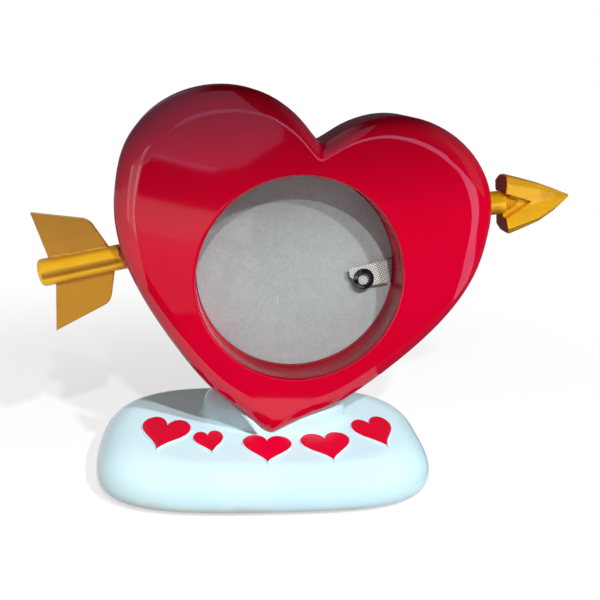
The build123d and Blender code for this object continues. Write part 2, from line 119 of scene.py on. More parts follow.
class NodeBoard:
    """A node tree, with short calls that add nodes and link them."""

    def __init__(self, tree: NodeTree) -> None:
        """Takes a tree and empties it."""
        self.tree = tree
        self.tree.nodes.clear()

    def give(self, target: NodeSocket, source: object) -> None:
        """Links an output to an input, or sets the input's value.

        Args:
            target: The input.
            source: An output, a number, a vector, or a colour without its alpha.
        """
        if isinstance(source, NodeSocket):
            self.tree.links.new(source, target)
        elif target.type == "RGBA":
            target.default_value = (*source, 1)
        else:
            target.default_value = source

    def fill(self, node: Node, values: dict[str, object]) -> None:
        """Gives a node's sockets their links and values, or its attributes where no socket has the name.

        Args:
            node: The node.
            values: Attribute or socket names, spaces as underscores, and what they get.
        """
        for name, value in values.items():
            wanted = name.replace("_", " ")
            socket = next((s for s in node.inputs if s.name.lower() == wanted), None)
            if socket is None:
                setattr(node, name, value)
            else:
                self.give(socket, value)

    def add(self, kind: str, **values: object) -> Node:
        """Adds a node.

        Args:
            kind: Node type.
            values: Attribute or socket names, spaces as underscores, and what they get.

        Returns:
            The new node.
        """
        node = self.tree.nodes.new(kind)
        self.fill(node, values)
        return node

    def join(self, kind: str, *sources: object, **values: object) -> Node:
        """Adds a node whose inputs share a name, and fills the first of them in order.

        Args:
            kind: Node type.
            sources: Outputs or values for its inputs.
            values: Its attributes.

        Returns:
            The new node.
        """
        node = self.add(kind, **values)
        for socket, source in zip(node.inputs, sources):
            self.give(socket, source)
        return node

    def where(self) -> NodeSocket:
        """Gives the coordinates of the piece itself."""
        return self.add("ShaderNodeTexCoord").outputs["Object"]

    def strokes(self, angle: float, stretch: float) -> NodeSocket:
        """Gives coordinates that are drawn out along a line in the front view.

        Args:
            angle: The line's angle above level, in radians.
            stretch: How many times longer a pattern is along the line than across it.

        Returns:
            The vector output.
        """
        mapping = self.add("ShaderNodeMapping", vector_type="TEXTURE", vector=self.where(),
                           rotation=(0, -angle, 0), scale=(stretch, 1, 1))
        return mapping.outputs["Vector"]

    def facing(self, direction: Sequence[float]) -> NodeSocket:
        """Gives how far the surface faces a direction, from -1 to 1."""
        normal = self.add("ShaderNodeTexCoord").outputs["Normal"]
        return self.join("ShaderNodeVectorMath", normal, direction, operation="DOT_PRODUCT").outputs["Value"]

    def noise(self, where: NodeSocket, scale: float, detail: float = 3, rough: float = 0.5) -> NodeSocket:
        """Adds a noise pattern and gives its value."""
        node = self.add("ShaderNodeTexNoise", vector=where, scale=scale, detail=detail, roughness=rough)
        return node.outputs["Fac"]

    def blend(self, share: NodeSocket, first: NodeSocket | Colour, second: NodeSocket | Colour) -> NodeSocket:
        """Mixes two colours.

        Args:
            share: How much of the second colour.
            first: Colour or output.
            second: Colour or output.

        Returns:
            The colour output.
        """
        node = self.add("ShaderNodeMix", data_type="RGBA", factor=share)
        self.give(node.inputs[6], first)
        self.give(node.inputs[7], second)
        return node.outputs[2]

    def mix(self, share: NodeSocket, first: NodeSocket, second: NodeSocket) -> NodeSocket:
        """Mixes two shaders and gives the result."""
        return self.join("ShaderNodeMixShader", share, first, second).outputs[0]

    def span(self, value: NodeSocket, low: float, high: float, out_low: float = 0, out_high: float = 1,
             kind: str = "SMOOTHSTEP") -> NodeSocket:
        """Maps a value's range onto another.

        Args:
            value: The value.
            low: Value that gives the new range's first end.
            high: Value that gives its second end.
            out_low: First end of the new range.
            out_high: Second end of the new range.
            kind: How the result runs between them.

        Returns:
            The result, held inside the new range.
        """
        node = self.add("ShaderNodeMapRange", interpolation_type=kind, value=value, from_min=low,
                        from_max=high, to_min=out_low, to_max=out_high)
        return node.outputs["Result"]

    def maths(self, kind: str, first: NodeSocket, second: NodeSocket | float) -> NodeSocket:
        """Joins two values by one operation and gives the result."""
        return self.join("ShaderNodeMath", first, second, operation=kind).outputs[0]

    def axis(self, where: NodeSocket, name: str) -> NodeSocket:
        """Gives one axis of a vector output."""
        return self.join("ShaderNodeSeparateXYZ", where).outputs[name]

    def seen(self) -> NodeSocket:
        """Finds the rays that see the background as white.

        Returns:
            1 for camera, glossy and transmission rays, and 0 for others.
        """
        rays = self.add("ShaderNodeLightPath").outputs
        either = self.maths("MAXIMUM", rays["Is Camera Ray"], rays["Is Glossy Ray"])
        return self.maths("MAXIMUM", either, rays["Is Transmission Ray"])


class ShaderBoard(NodeBoard):
    """The nodes of one new material, with a Principled shader on its surface."""

    def __init__(self, name: str) -> None:
        """Starts a material.

        Args:
            name: Name of the material.
        """
        self.material: Material = bpy.data.materials.new(name)
        self.material.use_nodes = True
        super().__init__(self.material.node_tree)
        self.output: Node = self.add("ShaderNodeOutputMaterial")
        self.shader: Node = self.add("ShaderNodeBsdfPrincipled")
        self.show(self.shader.outputs[0])

    def show(self, shader: NodeSocket) -> None:
        """Puts a shader on the surface."""
        self.give(self.output.inputs["Surface"], shader)

    def show_only(self, shader: NodeSocket) -> Material:
        """Puts a shader on the surface and removes the Principled one.

        Args:
            shader: The shader.

        Returns:
            The material.
        """
        self.tree.nodes.remove(self.shader)
        self.show(shader)
        return self.material

    def surface(self, **values: object) -> Material:
        """Fills sockets of the Principled shader.

        Args:
            values: Names of sockets, spaces as underscores, and what they get.

        Returns:
            The material.
        """
        self.fill(self.shader, values)
        return self.material

    def bump(self, height: NodeSocket, distance: float, **under: NodeSocket) -> NodeSocket:
        """Gives a normal from a height and the relief in metres for 1, over another normal if given."""
        return self.add("ShaderNodeBump", height=height, distance=distance, **under).outputs["Normal"]


@dataclass(frozen=True)
class RedLacquer:
    """Glossy red lacquer over cast resin, slightly wavy, with painted shade that darkens the heart's upper
    and left sides.
    """

    colour: Colour = srgb(208, 0, 42)
    shade: Colour = srgb(200, 0, 38)
    # edge is the painted shade: a darker red for the faces that turn up and to the left
    edge: Colour = srgb(112, 0, 16)
    painted_shade_side: Spot = (-0.42, 0.0, 0.907)
    painted_shade_share: float = 0.8
    roughness: float = 0.055
    wave: float = 0.05 * MM
    ripple: float = 0.004 * MM

    def make(self) -> Material:
        """Builds the material.

        Returns:
            The material.
        """
        board = ShaderBoard("red_lacquer")
        where = board.where()
        cloud = board.span(board.noise(where, scale=18), 0.35, 0.7)
        # painted shade: the faces that turn up and to the left are mixed towards the darker red
        deep = board.span(board.facing(self.painted_shade_side), 0.05, 0.72, 0, self.painted_shade_share)
        tint = board.blend(deep, board.blend(cloud, self.colour, self.shade), self.edge)
        slow = board.bump(board.noise(where, scale=34, detail=2), self.wave)
        fine = board.bump(board.noise(where, scale=380, detail=2), self.ripple, normal=slow)
        return board.surface(base_color=tint, roughness=self.roughness, specular_ior_level=0.5, normal=fine)


@dataclass(frozen=True)
class WhiteGlaze:
    """Glossy bluish white paint, warmer towards the foot, with a few pinholes."""

    colour: Colour = srgb(215, 243, 249)
    cloud: Colour = srgb(206, 238, 247)
    foot: Colour = srgb(206, 200, 182)
    foot_height: float = 6.5 * MM
    foot_drift: float = 2.5 * MM
    pit: Colour = srgb(120, 132, 136)
    pit_depth: float = 0.3 * MM
    wave: float = 0.18 * MM
    roughness: float = 0.16

    def make(self) -> Material:
        """Builds the material.

        Returns:
            The material.
        """
        board = ShaderBoard("white_glaze")
        where = board.where()
        patch = board.noise(where, scale=60, detail=4)
        drift = board.span(patch, 0.2, 0.8, -self.foot_drift, self.foot_drift)
        level = board.maths("ADD", board.axis(where, "Z"), drift)
        warm = board.span(level, self.foot_height, MM, 0, 0.85)
        tint = board.blend(board.span(board.noise(where, scale=22), 0.3, 0.75), self.colour, self.cloud)
        tint = board.blend(warm, tint, self.foot)
        cells = board.add("ShaderNodeTexVoronoi", vector=where, scale=95).outputs
        hole = board.span(cells["Distance"], 0.03, 0.05, 1, 0)
        rare = board.span(board.axis(cells["Color"], "X"), 0.86, 0.88)
        pinhole = board.maths("MULTIPLY", hole, rare)
        slow = board.bump(board.noise(where, scale=26), self.wave)
        dent = board.bump(board.maths("MULTIPLY", pinhole, -1.0), self.pit_depth, normal=slow)
        return board.surface(base_color=board.blend(pinhole, tint, self.pit), roughness=self.roughness,
                             specular_ior_level=0.5, normal=dent)


@dataclass(frozen=True)
class GoldPaint:
    """Gold paint with metal flakes in it, brushed along the arrow, with painted light and shade: a painted
    tone on the faces that turn up, a painted dark reflection on those that face the front, and painted shade
    on the rear faces.
    """

    name: str
    bright: Colour
    deep: Colour
    angle: float
    metallic: float
    roughness: float = 0.3
    streak: float = 0.18
    grain_depth: float = 0.03 * MM
    flake_depth: float = 0.02 * MM
    spark: Colour = srgb(255, 224, 128)
    spark_share: float = 0.12
    # painted light on the faces that turn up: by default a darker painted reflection, and a painted highlight
    # where a paler colour is given
    painted_top_tone: Colour = srgb(176, 108, 18)
    painted_top_share: float = 0.55
    # painted dark reflection: a brown streak on the faces that turn to the front
    painted_dark_reflection: Colour = srgb(140, 84, 22)
    painted_dark_reflection_share: float = 0.0
    # painted shade with a red-brown painted reflection on the rear faces, which turn to the heart
    painted_rear_shade: Colour = srgb(136, 44, 32)
    rear_shade_painted: bool = False

    def make(self) -> Material:
        """Builds the material.

        Returns:
            The material.
        """
        board = ShaderBoard(self.name)
        where = board.where()
        grain = board.noise(board.strokes(self.angle, stretch=14), scale=230)
        flakes = board.noise(where, scale=3000, detail=2, rough=0.7)
        share = board.maths("MULTIPLY", board.span(grain, 0.42, 0.72), self.streak)
        patch = board.span(board.noise(where, scale=85), 0.4, 0.8, 0, 0.3)
        tint = board.blend(board.maths("ADD", share, patch), self.bright, self.deep)
        spark = board.maths("MULTIPLY", board.span(flakes, 0.55, 0.7), self.spark_share)
        # painted light by facing: the upward faces, and the faces towards the front, are mixed towards their
        # painted tones
        over = board.span(board.facing((0, 0, 1)), 0.62, 0.96, 0, self.painted_top_share)
        level = board.span(board.facing((0, -0.999, -0.05)), 0.93, 1.0, 0, self.painted_dark_reflection_share)
        for part, colour in ((spark, self.spark), (over, self.painted_top_tone), (level, self.painted_dark_reflection)):
            tint = board.blend(part, tint, colour)
        board.surface(metallic=self.metallic, roughness=self.roughness)
        # painted shade: the rear faces, turned to the heart, go dark red-brown and matt
        if self.rear_shade_painted:
            axis = (-math.cos(self.angle), 0, -math.sin(self.angle))
            rear = board.span(board.facing(axis), 0.5, 0.75)
            tint = board.blend(rear, tint, self.painted_rear_shade)
            board.surface(metallic=board.span(rear, 0, 1, self.metallic, 0.0),
                          specular_ior_level=board.span(rear, 0, 1, 0.5, 0.1),
                          roughness=board.span(rear, 0, 1, self.roughness, 0.6))
        coarse = board.bump(grain, self.grain_depth)
        return board.surface(base_color=tint, normal=board.bump(flakes, self.flake_depth, normal=coarse))


@dataclass(frozen=True)
class GrainedFinish:
    """A plain finish of one fine grain, which tints it from one colour to another and raises it."""

    name: str
    light: Colour
    dark: Colour | None
    grain: float
    depth: float
    shine: dict[str, float]
    detail: float = 3
    rough: float = 0.5
    raised_grain: float | None = None

    def make(self) -> Material:
        """Builds the material.

        Returns:
            The material.
        """
        board = ShaderBoard(self.name)
        where = board.where()
        height = grain = board.noise(where, self.grain, self.detail, self.rough)
        tint: NodeSocket | Colour = self.light
        if self.dark is not None:
            tint = board.blend(board.span(grain, 0.3, 0.7), self.light, self.dark)
        if self.raised_grain is not None:
            height = board.noise(where, self.raised_grain, detail=2)
        return board.surface(base_color=tint, normal=board.bump(height, self.depth), **self.shine)


RED_ENAMEL = GrainedFinish("red_enamel", srgb(226, 0, 50), srgb(214, 0, 42), grain=90, raised_grain=240,
                           depth=0.05 * MM, shine={"roughness": 0.3, "specular_ior_level": 0.35})
BLACK_ENAMEL = GrainedFinish("black_enamel", srgb(16, 16, 18), None, grain=900, detail=2, depth=0.01 * MM,
                             shine={"roughness": 0.16, "coat_weight": 0.8, "coat_roughness": 0.05})
ZINC_STEEL = GrainedFinish("zinc_steel", srgb(196, 200, 202), srgb(160, 164, 166), grain=700,
                           depth=0.01 * MM, shine={"metallic": 1.0, "roughness": 0.32})
BLACK_FELT = GrainedFinish("black_felt", srgb(26, 26, 28), srgb(52, 52, 54), grain=1800, detail=5, rough=0.7,
                           depth=0.2 * MM, shine={"roughness": 0.95, "sheen_weight": 0.4})


@dataclass(frozen=True)
class DarkFoam:
    """Fine dark foam of the backing pad."""

    light: Colour = srgb(24, 24, 26)
    dark: Colour = srgb(58, 58, 60)
    depth: float = 0.2 * MM

    def make(self) -> Material:
        """Builds the material.

        Returns:
            The material.
        """
        board = ShaderBoard("dark_foam")
        cells = board.add("ShaderNodeTexVoronoi", vector=board.where(), scale=1500).outputs["Distance"]
        tint = board.blend(board.span(cells, 0.1, 0.6), self.light, self.dark)
        return board.surface(base_color=tint, roughness=0.9, normal=board.bump(cells, self.depth))


@dataclass(frozen=True)
class WovenRibbon:
    """White ribbon of crossed threads, with silver ones that show between them."""

    light: Colour = srgb(250, 252, 248)
    dark: Colour = srgb(150, 145, 138)
    pitch: float = 0.85 * MM
    turns: tuple[float, float] = (68.0, -22.0)
    depth: float = 0.15 * MM

    def make(self) -> Material:
        """Builds the material.

        Returns:
            The material.
        """
        board = ShaderBoard("woven_ribbon")
        step = 2 * math.pi / (20 * self.pitch)
        threads: list[NodeSocket] = []
        for turn in self.turns:
            wave = board.add("ShaderNodeTexWave", wave_type="BANDS", bands_direction="X", distortion=0.4,
                             vector=board.strokes(math.radians(turn), stretch=1), scale=step, detail=1,
                             detail_scale=2)
            threads.append(wave.outputs["Fac"])
        weave = board.maths("MULTIPLY", *threads)
        tint = board.blend(board.span(weave, 0.08, 0.5), self.dark, self.light)
        return board.surface(base_color=tint, roughness=0.5, sheen_weight=0.2, specular_ior_level=0.5,
                             normal=board.bump(weave, self.depth))


@dataclass(frozen=True)
class MottledCard:
    """Pale grey card with a soft mottling and a few faint creases."""

    light: Colour = srgb(185, 188, 187)
    dark: Colour = srgb(171, 174, 173)
    fleck: Colour = srgb(149, 149, 145)
    fleck_share: float = 0.6
    crease: Colour = srgb(232, 232, 234)
    depth: float = 0.05 * MM

    def make(self) -> Material:
        """Builds the material.

        Returns:
            The material.
        """
        board = ShaderBoard("mottled_card")
        where = board.where()
        cloud = board.noise(where, scale=260, detail=5, rough=0.65)
        large = board.span(board.noise(where, scale=38), 0.3, 0.7, 0, 0.45)
        share = board.maths("ADD", board.span(cloud, 0.3, 0.7, 0, 0.55), large)
        cracks = board.add("ShaderNodeTexVoronoi", feature="DISTANCE_TO_EDGE", vector=where, scale=24)
        line = board.span(cracks.outputs["Distance"], 0.012, 0.0, 0, 0.5)
        rare = board.span(board.noise(where, scale=45, detail=2), 0.6, 0.68)
        tint = board.blend(share, self.light, self.dark)
        tint = board.blend(board.maths("MULTIPLY", line, rare), tint, self.crease)
        grain = board.noise(where, scale=1500, rough=0.7)
        tint = board.blend(board.span(grain, 0.45, 0.75, 0, self.fleck_share), tint, self.fleck)
        return board.surface(base_color=tint, roughness=0.7, normal=board.bump(cloud, self.depth))


@dataclass(frozen=True)
class ClearAcrylic:
    """Clear acrylic sheet: lets the card show and mirrors the room faintly, more at a slant."""

    straight: float = 0.035
    roughness: float = 0.06

    def make(self) -> Material:
        """Builds the material.

        Returns:
            The material.
        """
        board = ShaderBoard("clear_acrylic")
        edge = board.add("ShaderNodeLayerWeight", blend=0.5)
        slant = board.maths("POWER", edge.outputs["Facing"], 5.0)
        share = board.span(slant, 0, 1, self.straight, 1, kind="LINEAR")
        clear = board.add("ShaderNodeBsdfTransparent")
        gloss = board.add("ShaderNodeBsdfGlossy", roughness=self.roughness)
        return board.show_only(board.mix(share, clear.outputs[0], gloss.outputs[0]))


def finish_mesh(bm: BMesh, name: str, material: Material, smooth: bool = True) -> Object:
    """Turns a bmesh into a dressed object at the origin.

    Args:
        bm: The mesh, in metres in the row frame. It is freed.
        name: Name of the piece.
        material: Its material.
        smooth: Whether its faces shade smoothly.

    Returns:
        The new object, linked to the scene.
    """
    bmesh.ops.recalc_face_normals(bm, faces=bm.faces)
    for face in bm.faces:
        face.smooth = smooth
    mesh = bpy.data.meshes.new(name)
    bm.to_mesh(mesh)
    bm.free()
    piece = bpy.data.objects.new(name, mesh)
    bpy.context.scene.collection.objects.link(piece)
    dress(piece, material)
    return piece


def dress(piece: Object, material: Material) -> None:
    """Gives a piece its one material."""
    piece.data.materials.clear()
    piece.data.materials.append(material)


def add_piece(bm: BMesh, name: str, material: Material, body: Body = Body.FRAME,
              node: str | None = None, modifiers: Modifiers | None = None) -> Object:
    """Adds a visible piece that rides on a body.

    Args:
        bm: The mesh, in metres in the row frame. It is freed.
        name: Name of the piece.
        material: Its material.
        body: The body that it rides on.
        node: The CAD node that it replaces.
        modifiers: Values of each modifier, by its kind.

    Returns:
        The piece.
    """
    piece = finish_mesh(bm, name, material)
    for kind, values in (modifiers or {}).items():
        modifier = piece.modifiers.new(kind.lower(), kind)
        for key, value in values.items():
            setattr(modifier, key, value)
    if node is not None:
        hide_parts(node)
    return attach(piece, body.value)


def softened(grain: float, factor: float, rounds: int) -> Modifiers:
    """Gives the modifiers that soften a solid's edges as a mould and its paint do.

    Args:
        grain: Size of the new faces, in metres.
        factor: Strength of each round of smoothing.
        rounds: Rounds of smoothing.

    Returns:
        The values of each modifier.
    """
    return {
        "REMESH": {"mode": "VOXEL", "voxel_size": grain, "use_smooth_shade": True},
        "SMOOTH": {"factor": factor, "iterations": rounds},
    }


def merged_copy(node: Object) -> BMesh:
    """Copies a CAD node's mesh and joins its loose triangles.

    Args:
        node: The CAD node's object.

    Returns:
        The merged copy.
    """
    bm = bmesh.new()
    bm.from_mesh(node.data)
    bmesh.ops.remove_doubles(bm, verts=bm.verts, dist=MERGE_DISTANCE)
    return bm


def surface_tree(node: Object) -> BVHTree:
    """Gives a tree that finds where a line meets a CAD node.

    Args:
        node: The CAD node's object.

    Returns:
        The tree.
    """
    bm = merged_copy(node)
    tree = BVHTree.FromBMesh(bm)
    bm.free()
    return tree


class Rings:
    """A surface that grows ring by ring from a closed loop of edges."""

    def __init__(self, bm: BMesh, edges: Sequence[BMEdge], size: float = 1.0) -> None:
        """Starts from a loop.

        Args:
            bm: The mesh.
            edges: The loop's edges.
            size: The loop's size, in the measure that resize takes.
        """
        self.bm = bm
        self.edges = list(edges)
        self.verts = list(dict.fromkeys(vert for edge in edges for vert in edge.verts))
        self.size = size
        self.place = Matrix.Identity(4)

    @classmethod
    def circle(cls, bm: BMesh, sides: int, radius: float = 1.0, place: Matrix | None = None) -> "Rings":
        """Starts from a new circle.

        Args:
            bm: The mesh.
            sides: Edges of the circle.
            radius: Its radius, which is also its size.
            place: Its place, the origin if none is given.

        Returns:
            The rings, so far with the circle alone.
        """
        verts = bmesh.ops.create_circle(bm, segments=sides, radius=radius,
                                        matrix=place or Matrix.Identity(4))["verts"]
        return cls(bm, list(dict.fromkeys(edge for vert in verts for edge in vert.link_edges)), radius)

    def grow(self) -> None:
        """Extrudes the last ring, for now in its own place."""
        grown = bmesh.ops.extrude_edge_only(self.bm, edges=self.edges)["geom"]
        self.verts = [item for item in grown if isinstance(item, BMVert)]
        self.edges = [item for item in grown if isinstance(item, BMEdge)]

    def resize(self, size: float, centre: Vector) -> None:
        """Scales the last ring to a size.

        Args:
            size: The new size.
            centre: The point that stays.
        """
        share = size / self.size
        bmesh.ops.scale(self.bm, verts=self.verts, vec=(share, share, share),
                        space=Matrix.Translation(-centre))
        self.size = size

    def put(self, place: Matrix) -> None:
        """Moves the last ring from its own place to another."""
        bmesh.ops.transform(self.bm, verts=self.verts, matrix=place @ self.place.inverted())
        self.place = place

    def close(self) -> None:
        """Closes the last ring with a face."""
        bmesh.ops.contextual_create(self.bm, geom=self.edges)

    @classmethod
    def sweep(cls, bm: BMesh, sides: int, places: Sequence[Matrix]) -> None:
        """Sweeps a circle of 1 m radius through a row of places, and closes both ends.

        Args:
            bm: The mesh.
            sides: Edges of the circle.
            places: Place and size of each ring.
        """
        rings = cls.circle(bm, sides)
        for index, place in enumerate(places):
            if index:
                rings.grow()
            rings.put(place)
            if index in (0, len(places) - 1):
                rings.close()


@dataclass(frozen=True)
class Shaft:
    """The axis of one half of the arrow: a point on it and its angle above level."""

    x: float
    z: float
    degrees: float

    @property
    def angle(self) -> float:
        """Angle above level, in radians."""
        return math.radians(self.degrees)

    @property
    def along(self) -> Vector:
        """Direction towards the arrow's point."""
        return Vector((math.cos(self.angle), 0, math.sin(self.angle)))

    def matrix(self, distance: float) -> Matrix:
        """Gives the matrix that stands a flat ring on the axis, its Z along the arrow.

        Args:
            distance: Distance from the axis's point, in metres.

        Returns:
            The matrix to the row frame.
        """
        origin = Vector((self.x, 0, self.z)) + self.along * distance
        return Matrix.Translation(origin) @ self.along.to_track_quat("Z", "Y").to_matrix().to_4x4()


TAIL = Shaft(-90.0 * MM, 85.7 * MM, 13.9)
HEAD = Shaft(118.45 * MM, 124.85 * MM, 8.4)


@dataclass
class HeartCasting:
    """The red heart, with its rounded border and round photo recess."""

    level: Vector = field(default_factory=lambda: Vector((7.375, 0, 89.007)) * MM)
    window: Vector = field(default_factory=lambda: Vector((8.369, 0, 88.898)) * MM)
    thickness: float = 27.6 * MM
    border_depth: float = 4.4 * MM
    border_steps: int = 18
    face_share: float = 0.868
    face_inset: float = 0.006
    window_radius: float = 40.0 * MM
    window_sides: int = 192
    rim_radius: float = 1.1 * MM
    # Where the flat face meets the rim, and where the wall's long stretch starts, in radii of the rim.
    rim_reach: float = 1.6
    wall_start: float = 4
    rim_turns: tuple[float, ...] = (12, 24, 36, 48, 60, 72, 84, 90)
    recess_depth: float = 18.6 * MM
    section_level: float = 8.0 * MM
    shortest_edge: float = 0.45 * MM
    longest_edge: float = 0.9 * MM
    halvings: int = 3

    def outline(self, node: Object) -> BMesh:
        """Cuts the heart's full outline out of the solid, with evenly spaced points.

        Args:
            node: The heart's CAD node.

        Returns:
            A mesh that has only the outline, at the middle of the heart's thickness.
        """
        bm = merged_copy(node)
        bmesh.ops.bisect_plane(
            bm, geom=bm.verts[:] + bm.edges[:] + bm.faces[:], plane_co=(0, self.section_level, 0),
            plane_no=(0, 1, 0), clear_inner=True, clear_outer=True,
        )
        bmesh.ops.remove_doubles(bm, verts=bm.verts, dist=self.shortest_edge)
        for _ in range(self.halvings):
            if wide := [edge for edge in bm.edges if edge.calc_length() > self.longest_edge]:
                bmesh.ops.subdivide_edges(bm, edges=wide, cuts=1)
        bmesh.ops.smooth_vert(bm, verts=bm.verts, factor=0.5, use_axis_x=True, use_axis_z=True)
        bmesh.ops.translate(bm, verts=bm.verts, vec=(0, -self.section_level, 0))
        return bm

    def border(self) -> list[Point]:
        """Gives the shape of the rounded border.

        Returns:
            Setback and size of each ring, as shares of the border's depth and of the outline, face last.
        """
        guides = (Vector((1, 1)), Vector((0.42, 0.995)), Vector((0, 0.928)), Vector((0, self.face_share)))
        points = []
        for step in range(self.border_steps + 1):
            turn = step / self.border_steps
            spot = Vector((0, 0))
            for index, guide in enumerate(guides):
                spot += guide * math.comb(3, index) * turn ** index * (1 - turn) ** (3 - index)
            points.append((spot.x, spot.y))
        return points

    def build(self, node: Object, red: Material) -> Object:
        """Builds the casting.

        Args:
            node: The heart's CAD node.
            red: Material of the whole casting.

        Returns:
            The piece, riding on the frame.
        """
        bm = self.outline(node)
        start = bm.edges[:]
        for side in (-1, 1):
            rings = Rings(bm, start)
            for setback, size in (*self.border(), (0, self.face_share - self.face_inset)):
                rings.grow()
                rings.resize(size, self.level)
                for vert in rings.verts:
                    vert.co.y = side * (self.thickness / 2 - setback * self.border_depth)
            if side < 0:
                self.open_recess(bm, rings.edges)
            else:
                bmesh.ops.triangle_fill(bm, use_beauty=True, edges=rings.edges)
        return add_piece(bm, "heart_casting", red, node="heart_body")

    def open_recess(self, bm: BMesh, face_loop: list[BMEdge]) -> None:
        """Closes the front face round the recess, and sinks the recess.

        Args:
            bm: The mesh.
            face_loop: Inner loop of the flat face.
        """
        centre = Vector((self.window.x, -self.thickness / 2, self.window.z))
        flat = Matrix.Translation(centre) @ Matrix.Rotation(math.radians(90), 4, "X")
        reach = self.window_radius + self.rim_reach * self.rim_radius
        rings = Rings.circle(bm, self.window_sides, reach, flat)
        bmesh.ops.triangle_fill(bm, use_beauty=True, edges=face_loop + rings.edges)
        steps = [(self.window_radius + self.rim_radius, 0.0)]
        for turn in map(math.radians, self.rim_turns):
            steps.append((self.window_radius + self.rim_radius * (1 - math.sin(turn)),
                          self.rim_radius * (1 - math.cos(turn))))
        steps.append((self.window_radius, self.wall_start * self.rim_radius))
        steps.append((self.window_radius, self.recess_depth))
        for radius, depth in steps:
            rings.grow()
            rings.resize(radius, centre)
            for vert in rings.verts:
                vert.co.y = centre.y + depth
        rings.close()


@dataclass
class PillowBase:
    """The white base with its cradle boss, cast in one piece."""

    grain: float = 0.75 * MM
    rounds: int = 12

    def build(self, node: Object, white: Material) -> Object:
        """Builds the base from the solid, with its edges softened as a casting's are.

        Args:
            node: The base's CAD node.
            white: Material of the whole base.

        Returns:
            The piece, riding on the frame.
        """
        return add_piece(merged_copy(node), "pillow_base", white, node="base_body",
                         modifiers=softened(self.grain, 0.6, self.rounds))


def heart_curve(turn: float) -> Point:
    """Gives a point of a plain heart's outline.

    Args:
        turn: The angle round it from its cleft, in radians.

    Returns:
        The point, in a square of side 1 about the origin.
    """
    across = 16 * math.sin(turn) ** 3
    tall = 13 * math.cos(turn) - 5 * math.cos(2 * turn) - 2 * math.cos(3 * turn) - math.cos(4 * turn)
    return across / 32, (tall + 2.5) / 29


@dataclass(frozen=True)
class Motif:
    """Place of one raised heart on the base, its size in metres and its turn."""

    x: float
    y: float
    width: float
    depth: float
    degrees: float


@dataclass
class RaisedHearts:
    """A row of plain raised hearts on the front of the base, painted red on top."""

    motifs: tuple[Motif, ...] = (
        Motif(-42.5 * MM, -12.0 * MM, 19.5 * MM, 21.0 * MM, -14),
        Motif(-24.5 * MM, -17.5 * MM, 12.0 * MM, 14.0 * MM, 8),
        Motif(-2.0 * MM, -22.3 * MM, 19.5 * MM, 17.5 * MM, -4),
        Motif(22.5 * MM, -21.0 * MM, 20.5 * MM, 18.0 * MM, 6),
        Motif(44.5 * MM, -11.5 * MM, 17.5 * MM, 20.5 * MM, 16),
    )
    relief: tuple[Point, ...] = (
        (1.08, -0.9 * MM), (1.055, 0.05 * MM), (1.025, 0.5 * MM), (0.995, 0.72 * MM), (0.95, 0.8 * MM),
        (0.7, 0.8 * MM), (0.35, 0.8 * MM),
    )
    enamel: tuple[Point, ...] = (
        (0.99, 0.6 * MM), (0.995, 0.8 * MM), (0.98, 0.95 * MM), (0.94, 1.03 * MM), (0.8, 1.08 * MM),
        (0.6, 1.1 * MM), (0.35, 1.1 * MM), (0.15, 1.1 * MM),
    )
    enamel_ripple: float = 0.008
    sides: int = 96
    centre_share: float = 0.08
    ray_height: float = 200 * MM

    def heart(self, bm: BMesh, motif: Motif, steps: Sequence[Point], ground: BVHTree, ripple: float) -> None:
        """Raises one heart from the base's surface, ring by ring.

        Args:
            bm: The mesh that receives it.
            motif: Its place, size and turn.
            steps: Size of each ring as a share of the outline, and its height over the surface.
            ground: The base's surface.
            ripple: How uneven the outline is, as a share of its size.
        """
        rings = Rings.circle(bm, self.sides)
        turned = Matrix.Rotation(math.radians(motif.degrees), 4, "Z")
        place = Matrix.Translation((motif.x, motif.y, 0)) @ turned
        for vert in rings.verts:
            turn = math.atan2(vert.co.x, vert.co.y)
            across, along = heart_curve(turn)
            wobble = math.sin(3 * turn + motif.degrees) + 0.6 * math.sin(7 * turn + motif.x / MM)
            spot = Vector((across * motif.width, along * motif.depth, 0))
            vert.co = place @ (spot * (1 + ripple * wobble))
        centre = place @ Vector((0, self.centre_share * motif.depth, 0))
        for index, (size, height) in enumerate(steps):
            if index:
                rings.grow()
            rings.resize(size, centre)
            for vert in rings.verts:
                vert.co.z = self.level(ground, vert.co) + height
        cap = bmesh.ops.contextual_create(bm, geom=rings.edges)["faces"]
        bmesh.ops.poke(bm, faces=cap)

    def level(self, ground: BVHTree, spot: Vector) -> float:
        """Gives the height of the base's surface under a spot."""
        hit = ground.ray_cast(Vector((spot.x, spot.y, self.ray_height)), Vector((0, 0, -1)))[0]
        return hit.z if hit is not None else 0.0

    def build(self, node: Object, white: Material, red: Material) -> list[Object]:
        """Builds the white reliefs and their red tops.

        Args:
            node: The base's CAD node.
            white: Material of the reliefs.
            red: Material of the tops.

        Returns:
            The two pieces, riding on the frame.
        """
        ground = surface_tree(node)
        pieces: list[Object] = []
        rows = (("heart_reliefs", self.relief, 0.0, white, "white_resin"),
                ("heart_enamel", self.enamel, self.enamel_ripple, red, "red_resin"))
        for name, steps, ripple, material, slot in rows:
            bm = bmesh.new()
            for motif in self.motifs:
                self.heart(bm, motif, steps, ground, ripple)
            pieces.append(add_piece(bm, name, material))
        return pieces


